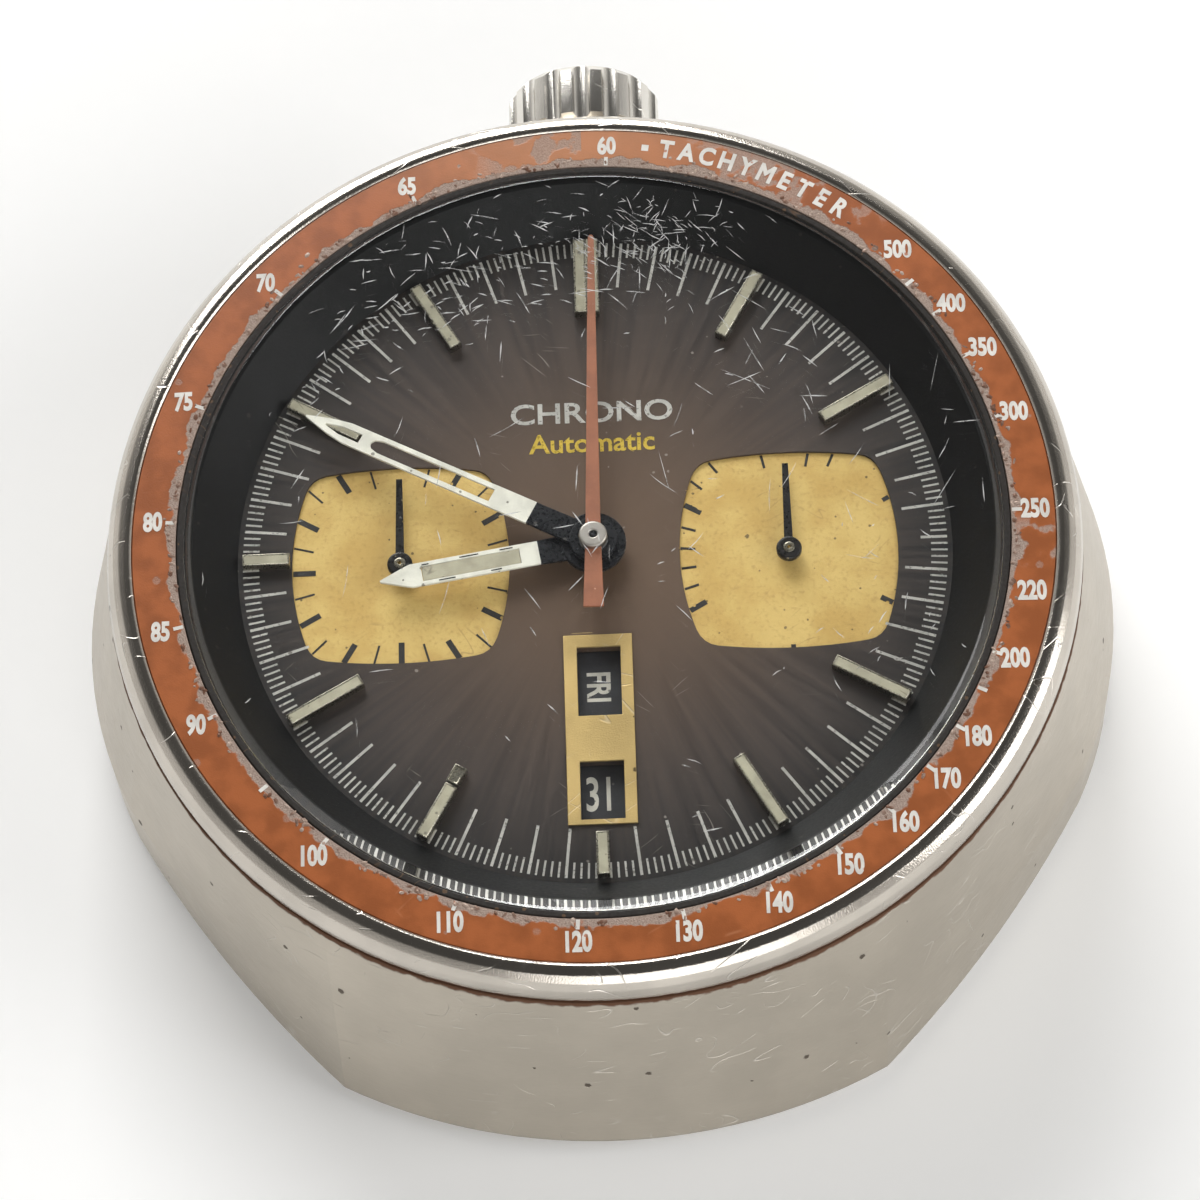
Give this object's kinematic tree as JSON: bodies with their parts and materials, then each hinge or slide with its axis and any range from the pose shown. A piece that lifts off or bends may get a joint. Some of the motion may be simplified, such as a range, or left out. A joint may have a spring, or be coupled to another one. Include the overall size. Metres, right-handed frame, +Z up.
{
  "type": "wrist chronograph head",
  "caption": "Cushion-cased wrist chronograph head with a tachymeter bezel, recorders, a day-date window, a crown, pushers and the movement inside.",
  "frame": {"origin": "centre of the case back's outer flat face, on the hands' axis", "axes": "+Z up through the crystal, +Y towards 12 o'clock and the crown, +X towards 3 o'clock"},
  "size_m": [0.044, 0.0466, 0.0161],
  "materials": {
    "case_steel": "brushed, with nicks and scratches",
    "bezel_steel": "polished steel, fine scratches",
    "insert_orange": "orange printed aluminium, chipped at the edges",
    "crystal_glass": "clear mineral glass, scuffed near 12",
    "black_rubber": "black gasket rubber",
    "black_paint": "satin black",
    "dial_brown": "brown sunburst lacquer",
    "gold_plate": "gold plated",
    "lume": "polished batons with cream luminous fill",
    "hand_white": "white framed hands, luminous fill",
    "hand_orange": "orange paint, faded",
    "hand_black": "black paint",
    "disc_dark": "dark calendar disc, pale print",
    "nickel": "nickel plated brass, circular grain",
    "brass_wheel": "gilt brass",
    "steel_part": "hardened steel",
    "blue_steel": "tempered spring steel",
    "ruby": "synthetic ruby",
    "ring_white": "moulded spacer ring"
  },
  "bodies": {
    "case": {"mid_case": "case_steel", "bezel_ring": "bezel_steel", "tachymeter_insert": "insert_orange", "crystal": "crystal_glass", "crystal_gasket": "black_rubber", "flange_ring": "black_paint", "case_back": "case_steel", "case_back_gasket": "black_rubber", "movement_ring": "ring_white", "crown_tube": "steel_part", "pusher_tubes": "steel_part", "dial": "dial_brown", "hour_markers": "lume", "calendar_frame": "gold_plate", "main_plate": "nickel", "train_bridge": "nickel", "balance_cock": "nickel", "chronograph_bridge": "nickel", "bridge_screws": "blue_steel", "jewels": "ruby", "rotor_bearing": "steel_part"},
    "crown_slide": {"crown_gasket": "black_rubber"},
    "crown_and_stem": {"crown": "case_steel", "winding_stem": "steel_part"},
    "clutch": {"clutch_wheel": "steel_part"},
    "start_button": {"start_pusher": "case_steel", "start_pusher_spring": "steel_part"},
    "reset_button": {"reset_pusher": "case_steel", "reset_pusher_spring": "steel_part"},
    "start_lever": {"operating_lever": "steel_part"},
    "hammer": {"reset_hammer": "steel_part"},
    "minute_work": {"cannon_pinion": "steel_part", "minute_hand": "hand_white"},
    "hour_work": {"hour_wheel": "brass_wheel", "hour_hand": "hand_white"},
    "minute_wheel_body": {"minute_wheel": "brass_wheel"},
    "barrel_body": {"mainspring_barrel": "brass_wheel", "barrel_cover": "brass_wheel", "mainspring": "blue_steel"},
    "barrel_arbor_body": {"barrel_arbor": "steel_part", "ratchet_wheel": "steel_part"},
    "centre_body": {"centre_wheel": "brass_wheel"},
    "third_body": {"third_wheel": "brass_wheel"},
    "fourth_body": {"fourth_wheel": "brass_wheel"},
    "escape_body": {"escape_wheel": "steel_part"},
    "fork_body": {"pallet_fork": "steel_part"},
    "balance_body": {"balance_wheel": "brass_wheel", "hairspring": "blue_steel"},
    "chrono_body": {"chronograph_wheel": "brass_wheel", "chrono_seconds_hand": "hand_orange"},
    "minute_recorder": {"minute_recorder_wheel": "brass_wheel", "minute_recorder_hand": "hand_black"},
    "hour_recorder": {"hour_recorder_wheel": "brass_wheel", "hour_recorder_hand": "hand_black"},
    "column_body": {"column_wheel": "steel_part"},
    "date_body": {"date_ring": "disc_dark"},
    "day_body": {"day_disc": "disc_dark"},
    "rotor_body": {"rotor_weight": "brass_wheel"}
  },
  "joints": [
    {"name": "crown_pull", "type": "slide", "parent": "case", "child": "crown_slide", "axis": [0, 0.9945, 0.1045], "range_m": [0, 0.0012]},
    {"name": "crown_turn", "type": "hinge", "parent": "crown_slide", "child": "crown_and_stem", "pos_m": [0, 0.01904, 0.01021], "axis": [0, 0.9945, 0.1045], "continuous": true},
    {"name": "clutch_shift", "type": "slide", "parent": "crown_and_stem", "child": "clutch", "axis": [0, 0.9945, 0.1045], "range_m": [-0.002, 0]},
    {"name": "start_press", "type": "slide", "parent": "case", "child": "start_button", "axis": [0.5, 0.8613, 0.0905], "range_m": [-0.001, 0], "stiffness_N_per_m": 1500, "springref_m": 0.0006, "deforming": ["start_pusher_spring"]},
    {"name": "reset_press", "type": "slide", "parent": "case", "child": "reset_button", "axis": [-0.5, 0.8613, 0.0905], "range_m": [-0.001, 0], "stiffness_N_per_m": 1500, "springref_m": 0.0006, "deforming": ["reset_pusher_spring"]},
    {"name": "start_lever_swing", "type": "hinge", "parent": "case", "child": "start_lever", "pos_m": [0.0095, 0.00706, 0.00935], "axis": [0, -0.1045, 0.9945], "range_deg": [0, 14]},
    {"name": "hammer_slide", "type": "slide", "parent": "case", "child": "hammer", "axis": [-0.5, 0.8613, 0.0905], "range_m": [-0.00105, 0]},
    {"name": "minute_turn", "type": "hinge", "parent": "case", "child": "minute_work", "pos_m": [0, -0.00089, 0.00851], "axis": [0, -0.1045, 0.9945], "continuous": true},
    {"name": "hour_turn", "type": "hinge", "parent": "case", "child": "hour_work", "pos_m": [0, -0.00089, 0.00851], "axis": [0, -0.1045, 0.9945], "continuous": true},
    {"name": "minute_wheel_turn", "type": "hinge", "parent": "case", "child": "minute_wheel_body", "pos_m": [0.00255, 0.00164, 0.00878], "axis": [0, -0.1045, 0.9945], "continuous": true},
    {"name": "fourth_turn", "type": "hinge", "parent": "case", "child": "fourth_body", "pos_m": [-0.00366, 0.00561, 0.0092], "axis": [0, -0.1045, 0.9945], "continuous": true},
    {"name": "third_turn", "type": "hinge", "parent": "case", "child": "third_body", "pos_m": [-0.00436, 0.00161, 0.00878], "axis": [0, -0.1045, 0.9945], "continuous": true},
    {"name": "centre_turn", "type": "hinge", "parent": "case", "child": "centre_body", "pos_m": [0, -0.00089, 0.00851], "axis": [0, -0.1045, 0.9945], "continuous": true},
    {"name": "barrel_turn", "type": "hinge", "parent": "case", "child": "barrel_body", "pos_m": [0, -0.00776, 0.00779], "axis": [0, -0.1045, 0.9945], "continuous": true},
    {"name": "escape_turn", "type": "hinge", "parent": "case", "child": "escape_body", "pos_m": [0.00028, 0.00492, 0.00912], "axis": [0, -0.1045, 0.9945], "continuous": true},
    {"name": "barrel_arbor_turn", "type": "hinge", "parent": "case", "child": "barrel_arbor_body", "pos_m": [0, -0.00776, 0.00779], "axis": [0, -0.1045, 0.9945], "continuous": true},
    {"name": "fork_rock", "type": "hinge", "parent": "case", "child": "fork_body", "pos_m": [0.00321, 0.00458, 0.00909], "axis": [0, -0.1045, 0.9945], "range_deg": [-5, 5]},
    {"name": "balance_swing", "type": "hinge", "parent": "case", "child": "balance_body", "pos_m": [0.0058, 0.00428, 0.00906], "axis": [0, -0.1045, 0.9945], "range_deg": [-270, 270], "stiffness_Nm_per_rad": 0.0000003, "deforming": ["hairspring"]},
    {"name": "chrono_turn", "type": "hinge", "parent": "case", "child": "chrono_body", "pos_m": [0, -0.00089, 0.00851], "axis": [0, -0.1045, 0.9945], "continuous": true},
    {"name": "minute_recorder_turn", "type": "hinge", "parent": "case", "child": "minute_recorder", "pos_m": [0.0081, -0.00136, 0.00846], "axis": [0, -0.1045, 0.9945], "continuous": true},
    {"name": "hour_recorder_turn", "type": "hinge", "parent": "case", "child": "hour_recorder", "pos_m": [-0.0081, -0.00136, 0.00846], "axis": [0, -0.1045, 0.9945], "continuous": true},
    {"name": "column_turn", "type": "hinge", "parent": "case", "child": "column_body", "pos_m": [0, 0.00766, 0.00941], "axis": [0, -0.1045, 0.9945], "continuous": true},
    {"name": "date_turn", "type": "hinge", "parent": "case", "child": "date_body", "pos_m": [0, -0.00089, 0.00851], "axis": [0, -0.1045, 0.9945], "continuous": true},
    {"name": "day_turn", "type": "hinge", "parent": "case", "child": "day_body", "pos_m": [0, -0.00089, 0.00851], "axis": [0, -0.1045, 0.9945], "continuous": true},
    {"name": "rotor_turn", "type": "hinge", "parent": "case", "child": "rotor_body", "pos_m": [0, -0.00089, 0.00851], "axis": [0, -0.1045, 0.9945], "continuous": true}
  ],
  "couplings": [
    {"joint": "clutch_shift", "follows": "crown_pull", "ratio": -1.6667},
    {"joint": "start_lever_swing", "follows": "start_press", "rad_per_m": -243},
    {"joint": "hammer_slide", "follows": "reset_press", "ratio": 1.04},
    {"joint": "hour_turn", "follows": "minute_turn", "ratio": 0.083333},
    {"joint": "minute_wheel_turn", "follows": "minute_turn", "ratio": -0.33333},
    {"joint": "third_turn", "follows": "fourth_turn", "ratio": -0.13333},
    {"joint": "centre_turn", "follows": "fourth_turn", "ratio": 0.016667},
    {"joint": "barrel_turn", "follows": "fourth_turn", "ratio": -0.0025},
    {"joint": "escape_turn", "follows": "fourth_turn", "ratio": -9},
    {"joint": "minute_recorder_turn", "follows": "chrono_turn", "ratio": 0.033333},
    {"joint": "hour_recorder_turn", "follows": "chrono_turn", "ratio": 0.0013889}
  ]
}
